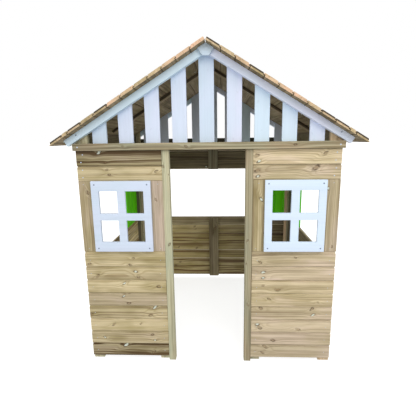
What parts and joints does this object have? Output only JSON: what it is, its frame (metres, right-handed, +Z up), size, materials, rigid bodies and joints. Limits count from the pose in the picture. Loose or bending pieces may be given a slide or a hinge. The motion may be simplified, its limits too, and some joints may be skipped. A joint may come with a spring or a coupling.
{
  "type": "wooden playhouse",
  "caption": "Gabled timber playhouse with an open doorway, square framed windows, wide openings at the back and sides, white gable slats and a boarded roof.",
  "frame": {"origin": "on the ground, at the middle of the house's outer box", "axes": "+Z up, the doorway faces -Y, +X is to the right as one looks at the doorway"},
  "size_m": [1.6606, 1.465, 1.8245],
  "materials": {
    "cladding_timber": "bare pressure-treated softwood boards, planed",
    "frame_timber": "bare pressure-treated softwood, sawn and planed",
    "roof_timber": "bare pressure-treated softwood boards",
    "white_paint": "satin white paint on planed softwood",
    "green_paint": "satin bright green paint on softwood boards",
    "zinc_screws": "zinc-plated countersunk screw heads"
  },
  "bodies": {
    "root": {"back_centre_batten": "frame_timber", "back_header": "frame_timber", "back_left_corner_batten": "frame_timber", "back_left_green_panel": "green_paint", "back_left_rafter": "white_paint", "back_lower_boards": "cladding_timber", "back_right_corner_batten": "frame_timber", "back_right_green_panel": "green_paint", "back_right_rafter": "white_paint", "back_slat_1": "white_paint", "back_slat_2": "white_paint", "back_slat_3": "white_paint", "back_slat_4": "white_paint", "back_slat_5": "white_paint", "back_slat_6": "white_paint", "back_slat_7": "white_paint", "back_slat_8": "white_paint", "back_slat_9": "white_paint", "back_upper_boards": "cladding_timber", "front_apex_plate": "white_paint", "front_header": "frame_timber", "front_left_corner_batten": "frame_timber", "front_left_inner_batten": "frame_timber", "front_left_inner_jamb_board": "cladding_timber", "front_left_lower_boards": "cladding_timber", "front_left_outer_jamb_board": "cladding_timber", "front_left_rafter": "white_paint", "front_left_upper_boards": "cladding_timber", "front_right_corner_batten": "frame_timber", "front_right_inner_batten": "frame_timber", "front_right_inner_jamb_board": "cladding_timber", "front_right_lower_boards": "cladding_timber", "front_right_outer_jamb_board": "cladding_timber", "front_right_rafter": "white_paint", "front_right_upper_boards": "cladding_timber", "front_slat_1": "white_paint", "front_slat_2": "white_paint", "front_slat_3": "white_paint", "front_slat_4": "white_paint", "front_slat_5": "white_paint", "front_slat_6": "white_paint", "front_slat_7": "white_paint", "front_slat_8": "white_paint", "front_slat_9": "white_paint", "left_door_post": "frame_timber", "left_side_back_batten": "frame_timber", "left_side_front_batten": "frame_timber", "left_side_green_panel": "green_paint", "left_side_lower_boards": "cladding_timber", "left_side_upper_boards": "cladding_timber", "left_window_frame": "white_paint", "right_door_post": "frame_timber", "right_side_back_batten": "frame_timber", "right_side_front_batten": "frame_timber", "right_side_green_panel": "green_paint", "right_side_lower_boards": "cladding_timber", "right_side_upper_boards": "cladding_timber", "right_window_frame": "white_paint", "roof_left_boards": "roof_timber", "roof_right_boards": "roof_timber"}
  },
  "joints": []
}
